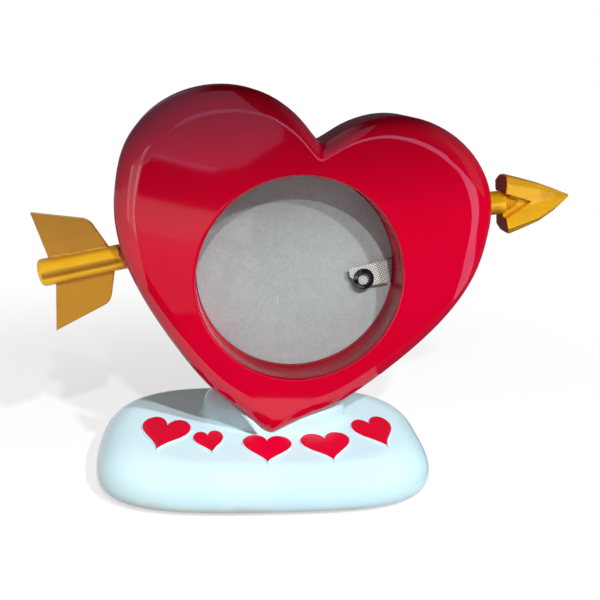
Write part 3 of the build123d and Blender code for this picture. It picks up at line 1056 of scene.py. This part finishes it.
@dataclass
class CastArrow:
    """The gold arrow: its cast head, its turned shafts and the glue at its vanes."""

    head_grain: float = 0.26 * MM
    tail_profile: tuple[Point, ...] = (
        (0.0, 3.7), (0.08, 4.2), (0.3, 4.65), (0.65, 5.0), (1.1, 5.22), (1.6, 5.3), (8.0, 5.22), (16.0, 5.1),
        (22.0, 5.0), (27.3, 4.9), (37.7, 4.9),
    )
    neck_profile: tuple[Point, ...] = (
        (-46.0, 4.8), (-36.0, 4.8), (-31.0, 4.72), (-28.8, 4.62), (-28.1, 4.5), (-27.75, 4.25), (-27.6, 3.8),
        (-27.45, 3.35), (-26.6, 3.15), (-25.9, 3.1),
    )
    turned_sides: int = 96
    bead: float = 0.55 * MM
    bead_sides: int = 10
    bead_steps: int = 48
    bead_swell: float = 0.25
    bead_waves: tuple[float, float] = (11, 23)
    bead_taper: float = 12
    bead_least: float = 0.03
    vane_seat: float = 4.7 * MM
    vane_root: float = 22.6 * MM
    vane_half: float = 1.3 * MM
    tail_radius: float = 5.3 * MM
    neck_radius: float = 4.9 * MM

    def cast(self, node: Object, material: Material) -> Object:
        """Builds the head from the solid, with its edges softened as a casting's are.

        Args:
            node: The head's CAD node.
            material: Its material.

        Returns:
            The piece, riding on the frame.
        """
        return add_piece(merged_copy(node), "head_casting", material, node="arrow_head",
                         modifiers=softened(self.head_grain, 0.5, 3))

    def turned(self, node: str, name: str, shaft: Shaft, profile: Sequence[Point],
               material: Material) -> Object:
        """Turns a shaft about its axis, with the round shape that its CAD node only has in facets.

        Args:
            node: Name of the CAD node that it replaces.
            name: Name of the piece.
            shaft: Its axis.
            profile: Distance along the axis and radius of each ring, in millimetres.
            material: Its material.

        Returns:
            The piece, riding on the frame.
        """
        bm = bmesh.new()
        Rings.sweep(bm, self.turned_sides, [
            shaft.matrix(distance * MM) @ Matrix.Scale(radius * MM, 4) for distance, radius in profile
        ])
        return add_piece(bm, name, material, node=node)

    def bead_place(self, share: float, over: int, front: int) -> Matrix:
        """Gives the place and size of a bead's ring.

        Args:
            share: How far along the vane's root, from 0 to 1.
            over: 1 over the shaft, -1 under it.
            front: 1 on one face of the vane, -1 on the other.

        Returns:
            The matrix from a ring of 1 m radius at the origin to the row frame.
        """
        radius = self.tail_radius + (self.neck_radius - self.tail_radius) * share
        rise = math.sqrt(radius ** 2 - self.vane_half ** 2)
        slow, quick = self.bead_waves
        wave = math.sin(slow * share + 2 * over + front) * math.sin(quick * share + front)
        swell = 1 + self.bead_swell * wave
        ends = min(1, share * self.bead_taper, (1 - share) * self.bead_taper)
        swell *= math.sqrt(max(self.bead_least, ends))
        spot = Vector((front * self.vane_half, over * rise, self.vane_seat + share * self.vane_root))
        return TAIL.matrix(0) @ Matrix.Translation(spot) @ Matrix.Scale(self.bead * swell, 4)

    def glue_beads(self, material: Material) -> Object:
        """Runs an uneven bead of glue and paint along both faces of each vane's root.

        Args:
            material: Material of the beads.

        Returns:
            The piece, riding on the frame.
        """
        bm = bmesh.new()
        for over, front in ((1, 1), (1, -1), (-1, 1), (-1, -1)):
            Rings.sweep(bm, self.bead_sides, [
                self.bead_place(step / self.bead_steps, over, front) for step in range(self.bead_steps + 1)
            ])
        return add_piece(bm, "glue_beads", material)


@dataclass
class PaintCollar:
    """A meniscus of red lacquer where a shaft enters the heart."""

    shaft: Shaft
    name: str
    radius: float
    start: float
    towards: int
    sides: int = 72
    steps: tuple[Point, ...] = (
        (-0.2 * MM, 1.75 * MM), (0.06 * MM, 1.6 * MM), (0.2 * MM, 1.05 * MM), (0.55 * MM, 0.55 * MM),
        (1.2 * MM, 0.24 * MM), (2.1 * MM, 0.05 * MM), (2.8 * MM, -0.5 * MM),
    )
    socket_margin: float = 0.35 * MM
    slow_swell: float = 0.25
    quick_swell: float = 0.15
    drift: float = 0.2

    def build(self, node: Object, red: Material) -> Object:
        """Builds the collar on the heart's side.

        Args:
            node: The heart's CAD node.
            red: Its material.

        Returns:
            The piece, riding on the frame.
        """
        side = surface_tree(node)
        bm = bmesh.new()
        frame = self.shaft.matrix(self.start)
        inward = self.shaft.along * self.towards
        rings = Rings.circle(bm, self.sides, self.radius, frame)
        for index, (grow, height) in enumerate(self.steps):
            if index:
                rings.grow()
            for vert in rings.verts:
                local = frame.inverted() @ vert.co
                turn = math.atan2(local.y, local.x)
                slow = self.slow_swell * math.sin(3 * turn + index * self.drift)
                uneven = 1 + slow + self.quick_swell * math.sin(7 * turn)
                reach = self.radius + grow * uneven
                clear = max(reach, self.radius + self.socket_margin)
                direction = Vector((math.cos(turn), math.sin(turn), 0))
                depth = side.ray_cast(frame @ (direction * clear), inward)[3] or 0
                vert.co = frame @ (direction * reach) + inward * (depth - height * uneven)
        return add_piece(bm, self.name, red,
                         modifiers={"SMOOTH": {"factor": 0.5, "iterations": 3}})


@dataclass
class PullTab:
    """The ribbon's flap over the cover, with its trimmed corner, and the black eyelet in it."""

    origin: Vector = field(default_factory=lambda: Vector((9.1635, -13.8, 84.266)) * MM)
    angle: float = math.radians(9.73)
    start: float = 21.0 * MM
    end: float = 36.75 * MM
    depth: float = 13.1 * MM
    thickness: float = 0.3 * MM
    bend_depth: float = 15.3 * MM
    bend_start: float = 37.0 * MM
    bend_reach: float = 39.55 * MM
    bend_half: float = 4.6 * MM
    centre_drop: float = 4.7 * MM
    top: tuple[Point, ...] = ((21.0, 3.7), (27.6, 3.75), (28.6, 3.95), (32.7, 4.7), (36.8, 4.75))
    bottom: tuple[Point, ...] = ((21.0, 0.9), (21.6, -0.2), (25.4, -4.4), (27.0, -4.7), (36.8, -4.65))
    eyelet: Vector = field(default_factory=lambda: Vector((26.7, -1.6)) * MM)
    eyelet_profile: tuple[Point, ...] = (
        (4.36, -0.02), (4.4, 0.08), (4.33, 0.28), (4.05, 0.5), (3.6, 0.68), (3.1, 0.82), (2.75, 0.98),
        (2.5, 1.06), (2.3, 1.0), (2.22, 0.82), (2.2, 0.5), (2.2, -0.02),
    )
    eyelet_sides: int = 96
    tab_columns: int = 64
    bend_columns: int = 6
    rows: int = 24
    ripple: float = 0.1 * MM
    ripple_length: float = 2.6 * MM
    end_lift: float = 1.0 * MM
    lift_from: float = 0.75

    def frame(self) -> Matrix:
        """Gives the ribbon's own frame, with X along it and Z to the viewer.

        Returns:
            The matrix from it to the row frame.
        """
        along = Vector((math.cos(self.angle), 0, math.sin(self.angle)))
        across = Vector((-math.sin(self.angle), 0, math.cos(self.angle)))
        return Matrix((
            (along.x, across.x, 0, self.origin.x),
            (0, 0, -1, self.origin.y),
            (along.z, across.z, 0, self.origin.z),
            (0, 0, 0, 1),
        ))

    def edge(self, points: Sequence[Point], run: float) -> float:
        """Gives an edge's height at a place along the ribbon.

        Args:
            points: The edge's corners, in millimetres.
            run: The place, in metres.

        Returns:
            The height, in metres.
        """
        place = run / MM
        for (x0, y0), (x1, y1) in zip(points, points[1:]):
            if place <= x1:
                share = max(0.0, (place - x0) / (x1 - x0))
                return (y0 + (y1 - y0) * share) * MM
        return points[-1][1] * MM

    def flap_spot(self, along: float, across: float) -> Vector:
        """Gives a point of the flap, which curls slightly at its free end.

        Args:
            along: Place along the flap, 0 at its free end and 1 at the fold.
            across: Place across it, from 0 to 1.

        Returns:
            The point, in the ribbon's frame.
        """
        run = self.start + (self.end - self.start) * along
        low, high = self.edge(self.bottom, run), self.edge(self.top, run)
        free = 1 - along
        curl = self.ripple * math.sin(run / self.ripple_length) * free
        curl += self.end_lift * max(0, free - self.lift_from)
        return Vector((run, low + (high - low) * across, -self.depth + curl))

    def bend_spot(self, along: float, across: float) -> Vector:
        """Gives a point of the ribbon's bend behind the cover, whose far end is as round as the recess.

        Args:
            along: Place along the bend, 0 at the slot.
            across: Place across it, from 0 to 1.

        Returns:
            The point, in the ribbon's frame.
        """
        rise = self.bend_half * (2 * across - 1)
        end = math.sqrt(self.bend_reach ** 2 - (rise - self.centre_drop) ** 2)
        return Vector((self.bend_start + (end - self.bend_start) * along, rise, -self.bend_depth))

    def sheet(self, name: str, columns: int, spot: Callable[[float, float], Vector], ribbon: Material,
              body: Body, node: str | None = None) -> Object:
        """Builds a stretch of the ribbon.

        Args:
            name: Name of the piece.
            columns: Faces along it.
            spot: Gives the point at a place along and across it, both from 0 to 1.
            ribbon: Its material.
            body: The body that it rides on.
            node: The CAD node that it replaces.

        Returns:
            The piece.
        """
        bm = bmesh.new()
        bmesh.ops.create_grid(bm, x_segments=columns, y_segments=self.rows, size=1)
        frame = self.frame()
        for vert in bm.verts:
            vert.co = frame @ spot((vert.co.x + 1) / 2, (vert.co.y + 1) / 2)
        return add_piece(bm, name, ribbon, body, node,
                         {"SOLIDIFY": {"thickness": self.thickness, "offset": 0.0}})

    def ring(self, black: Material) -> Object:
        """Spins the eyelet's rolled rim.

        Args:
            black: Its enamel.

        Returns:
            The piece, riding on the pull tab.
        """
        bm = bmesh.new()
        centre = Vector((self.eyelet.x, self.eyelet.y, -self.depth + self.thickness / 2))
        corners = [bm.verts.new(centre + Vector((x * MM, 0, z * MM))) for x, z in self.eyelet_profile]
        edges = [bm.edges.new(pair) for pair in zip(corners, corners[1:])]
        bmesh.ops.spin(bm, geom=corners + edges, cent=centre, axis=(0, 0, 1), angle=math.tau,
                       steps=self.eyelet_sides, use_merge=True)
        bmesh.ops.transform(bm, verts=bm.verts, matrix=self.frame())
        return add_piece(bm, "eyelet_rim", black, Body.TAB, "eyelet_ring")

    def build(self, ribbon: Material, black: Material) -> list[Object]:
        """Builds the flap, the bend that shows through the cover, and the eyelet.

        Args:
            ribbon: The ribbon's material.
            black: The eyelet's material.

        Returns:
            The three pieces.
        """
        return [
            self.sheet("ribbon_tab", self.tab_columns, self.flap_spot, ribbon, Body.TAB, "ribbon_flap"),
            self.sheet("ribbon_bend", self.bend_columns, self.bend_spot, ribbon, Body.PACK),
            self.ring(black),
        ]


WHITE: Colour = (1, 1, 1)
BLUISH: Colour = (0.86, 0.92, 1.5)


def box(left: float, right: float, low: float, high: float) -> tuple[Point, ...]:
    """Gives the corners of a card with square corners."""
    return (left, low), (right, low), (right, high), (left, high)


@dataclass(frozen=True)
class StageCard:
    """A card in the studio: its outline in its own plane, in metres, its glow, and what it does.

    An upright card's plane has a fixed Y, and its outline is in X and Z. A flat one's has a fixed Z.
    """

    name: str
    level: float
    outline: tuple[Point, ...]
    glow: float
    tint: Colour = WHITE
    stance: Stance = Stance.UPRIGHT
    reach: Reach = Reach.MIRRORED

    def corners(self) -> list[Vector]:
        """Gives the card's corners.

        Returns:
            The corners, in metres in the row frame.
        """
        if self.stance is Stance.UPRIGHT:
            return [Vector((x, self.level, z)) for x, z in self.outline]
        return [Vector((x, y, self.level)) for x, y in self.outline]


@dataclass(frozen=True)
class Lamp:
    """A square lamp: its place and side in metres, and its power in watts."""

    name: str
    place: Spot
    side: float
    watts: float


@dataclass
class Studio:
    """Camera, floor, lamps, world and the cards that gloss mirrors."""

    eye: Vector = field(default_factory=lambda: Vector((-38.60, -295.94, 164.67)) * MM)
    right: Vector = field(default_factory=lambda: Vector((0.98726, -0.14439, 0.06672)))
    up: Vector = field(default_factory=lambda: Vector((-0.02292, 0.28597, 0.95796)))
    back: Vector = field(default_factory=lambda: Vector((-0.15740, -0.94730, 0.27902)))
    lens: float = 46.45
    sensor: float = 36
    floor_half: float = 2.5
    floor_grey: Colour = (0.38, 0.38, 0.38)
    shown_grey: Colour = (0.42, 0.42, 0.42)
    shown_glow: float = 0.62
    white_from: float = 0.1
    white_at: float = 0.34
    daylight: Colour = (1.0, 0.96, 0.91)
    daylight_strength: float = 0.31
    room_radius: float = 1.7
    room_tint: Colour = (0.94, 0.96, 1.2)
    room_glow: float = 0.015
    aim: Vector = field(default_factory=lambda: Vector((0.01, 0, 0.08)))
    lamp_tint: Colour = (0.96, 1.0, 1.03)
    lamps: tuple[Lamp, ...] = (
        Lamp("key_lamp", (0.035, -0.914, 0.809), 0.04, 6.8),
        Lamp("side_lamp", (0.404, -0.914, 0.926), 0.06, 9.9),
    )
    cards: tuple[StageCard, ...] = (
        StageCard("dark_table", 0.0004, box(-0.135, 1.6, -0.44, -0.105), 0.012, stance=Stance.FLAT),
        StageCard("dark_side", 0.0004, ((0.082, -0.105), (1.6, -0.105), (1.6, 0.4), (0.082, 0.25)), 0.10,
                  BLUISH, Stance.FLAT),
        StageCard("floor_stripe", 0.0006, ((0.275, -0.42), (0.46, -0.42), (0.35, -0.16), (0.25, -0.05),
                                           (0.19, -0.05), (0.215, -0.14), (0.25, -0.25)), 1.5, BLUISH,
                  Stance.FLAT),
        StageCard("dark_wall", -0.44, ((-0.135, 0), (1.6, 0), (1.6, 0.175), (-0.135, 0.225)), 0.012),
        StageCard("grey_wall", -0.42, ((-0.33, 0.144), (-0.20, 0.1165), (-0.006, 0.0776), (0.02, 0.085),
                                       (0.05, 0.108), (0.05, 0.24), (-0.33, 0.24)), 0.5, BLUISH),
        StageCard("upper_wall", -0.42, ((-0.6, 0.24), (0.05, 0.24), (0.03, 0.9), (-0.6, 0.9)), 0.5, BLUISH),
        StageCard("bright_sill", -0.419, ((-0.20, 0.1165), (-0.006, 0.0776), (-0.006, 0.0798),
                                          (-0.20, 0.1195)), 1.5, BLUISH),
        StageCard("light_band", -0.42, ((-0.16, 0.032), (0.03, 0.008), (0.03, 0.036), (-0.16, 0.066)), 0.85),
        StageCard("low_wall", -0.42, ((-0.135, 0), (0, 0), (0, 0.012), (-0.135, 0.03)), 0.45),
        StageCard("grey_floor", 0.001, ((-0.135, -0.42), (-0.135, -0.23), (-0.012, -0.25), (0.01, -0.42)),
                  0.36, stance=Stance.FLAT),
        StageCard("inner_stripe", -0.42, box(-0.19, -0.148, 0, 0.16), 3.2),
        StageCard("outer_stripe", -0.42, box(-0.335, -0.285, 0, 0.14), 2.6),
        StageCard("left_crest", -0.419, box(-0.08, 0.055, 0.146, 0.20), 1.1, BLUISH),
        StageCard("right_crest", -0.42, ((0.06, 0.142), (0.27, 0.126), (0.27, 0.19), (0.06, 0.21)), 1.7,
                  BLUISH),
        StageCard("middle_stripe", -0.42, box(-0.285, -0.19, 0, 0.145), 1.5),
        StageCard("right_stripe", -0.42, ((0.275, 0), (0.46, 0), (0.46, 0.155), (0.275, 0.17)), 1.9, BLUISH),
        StageCard("right_glow", -0.42, box(0.42, 0.95, 0.16, 0.45), 0.4),
        StageCard("key_door", -0.44, ((-0.08, 0.434), (0.12, 0.4715), (0.12, 0.62), (-0.08, 0.62)), 0.0,
                  reach=Reach.SHADING),
        StageCard("side_door", -0.35, ((0.08, 0.4152), (0.26, 0.4418), (0.26, 0.60), (0.08, 0.60)), 0.0,
                  reach=Reach.SHADING),
        StageCard("base_flag", -0.012, ((-0.003, 0.0215), (-0.052, 0.0515), (-0.05, 0.07), (-0.02, 0.05)),
                  0.0, reach=Reach.SHADING),
    )

    def camera(self) -> None:
        """Adds the camera at the photograph's place."""
        data = bpy.data.cameras.new("camera")
        data.lens = self.lens
        data.sensor_width = self.sensor
        data.clip_start = 10 * MM
        camera = bpy.data.objects.new("camera", data)
        turn = Matrix((self.right, self.up, self.back)).transposed().to_4x4()
        camera.matrix_world = Matrix.Translation(self.eye) @ turn
        bpy.context.scene.collection.objects.link(camera)
        bpy.context.scene.camera = camera

    def lamp(self, lamp: Lamp) -> None:
        """Adds a lamp that lights the object but isn't mirrored.

        Args:
            lamp: The lamp.
        """
        data = bpy.data.lights.new(lamp.name, "AREA")
        data.shape = "SQUARE"
        data.size = lamp.side
        data.energy = lamp.watts
        data.color = self.lamp_tint
        light = bpy.data.objects.new(lamp.name, data)
        turn = (self.aim - Vector(lamp.place)).to_track_quat("-Z", "Y").to_matrix().to_4x4()
        light.matrix_world = Matrix.Translation(lamp.place) @ turn
        light.visible_glossy = False
        bpy.context.scene.collection.objects.link(light)

    def floor(self) -> None:
        """Adds the plain pale floor, which shows the object's shadow and turns white further out."""
        bm = bmesh.new()
        bmesh.ops.create_grid(bm, x_segments=1, y_segments=1, size=self.floor_half)
        board = ShaderBoard("pale_floor")
        board.surface(base_color=self.floor_grey, roughness=0.9, specular_ior_level=0.0)
        white = board.add("ShaderNodeEmission", strength=1.0)
        pale = board.add("ShaderNodeEmission", strength=self.shown_glow)
        matt = board.add("ShaderNodeBsdfDiffuse", color=self.shown_grey)
        near = board.join("ShaderNodeAddShader", pale.outputs[0], matt.outputs[0])
        distance = board.join("ShaderNodeVectorMath", board.where(), operation="LENGTH")
        away = board.span(distance.outputs["Value"], self.white_from, self.white_at)
        shown = board.mix(away, near.outputs[0], white.outputs[0])
        board.show(board.mix(board.seen(), board.shader.outputs[0], shown))
        finish_mesh(bm, "floor", board.material, smooth=False)

    def add_card(self, bm: BMesh, name: str, material: Material, reach: Reach, smooth: bool = False) -> None:
        """Adds a stage piece that only glossy rays, or only shadow rays, meet.

        Args:
            bm: Its mesh.
            name: Its name.
            material: Its material.
            reach: What it does.
            smooth: Whether its faces shade smoothly.
        """
        piece = finish_mesh(bm, name, material, smooth)
        piece.visible_camera = False
        piece.visible_diffuse = False
        piece.visible_transmission = False
        piece.visible_volume_scatter = False
        piece.visible_glossy = reach is Reach.MIRRORED
        piece.visible_shadow = reach is Reach.SHADING

    def card(self, card: StageCard) -> None:
        """Stands a card in the studio, out of the camera's sight.

        Args:
            card: The card.
        """
        bm = bmesh.new()
        bmesh.ops.contextual_create(bm, geom=[bm.verts.new(corner) for corner in card.corners()])
        board = ShaderBoard(card.name)
        light = board.add("ShaderNodeEmission", strength=card.glow, color=card.tint)
        self.add_card(bm, card.name, board.show_only(light.outputs[0]), card.reach)

    def room(self) -> None:
        """Adds the dim room that gloss mirrors, a little lighter at the left, rear and upper right."""
        bm = bmesh.new()
        bmesh.ops.create_uvsphere(bm, u_segments=64, v_segments=32, radius=self.room_radius)
        bmesh.ops.bisect_plane(bm, geom=bm.verts[:] + bm.edges[:] + bm.faces[:], plane_co=(0, 0, -MM),
                               plane_no=(0, 0, 1), clear_inner=True)
        board = ShaderBoard("dim_room")
        where = board.where()
        across, along, height = (board.axis(where, name) for name in "XYZ")

        def zone(axis: NodeSocket, low: float, high: float, glow: float) -> NodeSocket:
            """Gives a glow that grows along an axis, between two shares of the room's radius."""
            return board.span(axis, low * self.room_radius, high * self.room_radius, 0, glow)

        right = board.maths("MULTIPLY", zone(across, 0.35, 0.7, 1), zone(height, 0.2, 0.5, 0.25))
        total = board.maths("ADD", zone(across, -0.1, -0.35, 0.5), zone(along, 0.1, 0.6, 0.04))
        total = board.maths("ADD", total, board.maths("ADD", right, self.room_glow))
        light = board.add("ShaderNodeEmission", color=self.room_tint, strength=total)
        self.add_card(bm, "dim_room", board.show_only(light.outputs[0]), Reach.MIRRORED, smooth=True)

    def world(self) -> None:
        """Sets a soft warm white world, which the camera sees as white."""
        world = bpy.data.worlds.new("studio")
        world.use_nodes = True
        board = NodeBoard(world.node_tree)
        light = board.add("ShaderNodeBackground", color=self.daylight, strength=self.daylight_strength)
        white = board.add("ShaderNodeBackground", color=WHITE, strength=1.0)
        mixed = board.mix(board.seen(), light.outputs[0], white.outputs[0])
        board.add("ShaderNodeOutputWorld", surface=mixed)
        bpy.context.scene.world = world

    def build(self) -> None:
        """Sets up the whole studio."""
        bpy.context.scene.view_settings.view_transform = "Standard"
        self.camera()
        self.floor()
        self.world()
        self.room()
        for card in self.cards:
            self.card(card)
        for lamp in self.lamps:
            self.lamp(lamp)


def main() -> None:
    """Builds the looks of every piece in order."""
    logging.basicConfig(level=logging.INFO, format="%(message)s")
    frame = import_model()
    nodes = frame["nodes"]
    Studio().build()
    LOG.info("studio set")

    red = RedLacquer().make()
    white = WhiteGlaze().make()
    black = BLACK_ENAMEL.make()
    steel = ZINC_STEEL.make()
    ribbon = WovenRibbon().make()
    # the tail shaft carries the painted dark reflection along its front
    shaft_gold = GoldPaint("shaft_gold", srgb(255, 190, 12), srgb(208, 132, 14), TAIL.angle, metallic=0.4,
                           painted_dark_reflection_share=0.78).make()
    neck_gold = GoldPaint("neck_gold", srgb(255, 190, 12), srgb(196, 122, 14), HEAD.angle,
                          metallic=0.45).make()
    # the vanes get a pale painted highlight on their upward edges
    vane_gold = GoldPaint("vane_gold", srgb(192, 132, 22), srgb(172, 112, 18), TAIL.angle, metallic=0.2,
                          roughness=0.4, painted_top_tone=srgb(255, 226, 140), painted_top_share=0.8).make()
    # the head's rear faces get the painted shade
    head_gold = GoldPaint("head_gold", srgb(255, 188, 16), srgb(210, 132, 20), HEAD.angle, metallic=0.45,
                          rear_shade_painted=True).make()
    finishes: dict[str, Material] = {
        "felt_pad": BLACK_FELT.make(),
        "anchor_screw": steel,
        "anchor_washer": steel,
        "tail_pin": steel,
        "head_pin": steel,
        "backing_pad": DarkFoam().make(),
        "photo_card": MottledCard().make(),
        "clear_cover": ClearAcrylic().make(),
        "pull_ribbon": ribbon,
        "eyelet_washer": black,
        "upper_vane": vane_gold,
        "lower_vane": vane_gold,
    }
    for name, material in finishes.items():
        dress(nodes[name], material)
    LOG.info("finishes on %d nodes", len(finishes))

    arrow = CastArrow()
    tail_collar = PaintCollar(TAIL, "tail_collar", radius=4.9 * MM, start=20 * MM, towards=1)
    head_collar = PaintCollar(HEAD, "head_collar", radius=4.8 * MM, start=-30 * MM, towards=-1)
    pieces = [
        HeartCasting().build(nodes["heart_body"], red),
        PillowBase().build(nodes["base_body"], white),
        *RaisedHearts().build(nodes["base_body"], white, RED_ENAMEL.make()),
        arrow.turned("tail_shaft", "tail_casting", TAIL, arrow.tail_profile, shaft_gold),
        arrow.turned("head_shaft", "neck_casting", HEAD, arrow.neck_profile, neck_gold),
        arrow.cast(nodes["arrow_head"], head_gold),
        arrow.glue_beads(vane_gold),
        tail_collar.build(nodes["heart_body"], red),
        head_collar.build(nodes["heart_body"], red),
        *PullTab().build(ribbon, black),
    ]
    for piece in pieces:
        LOG.info("%s: %d faces before its modifiers", piece.name, len(piece.data.polygons))


if __name__ == "__main__":
    main()
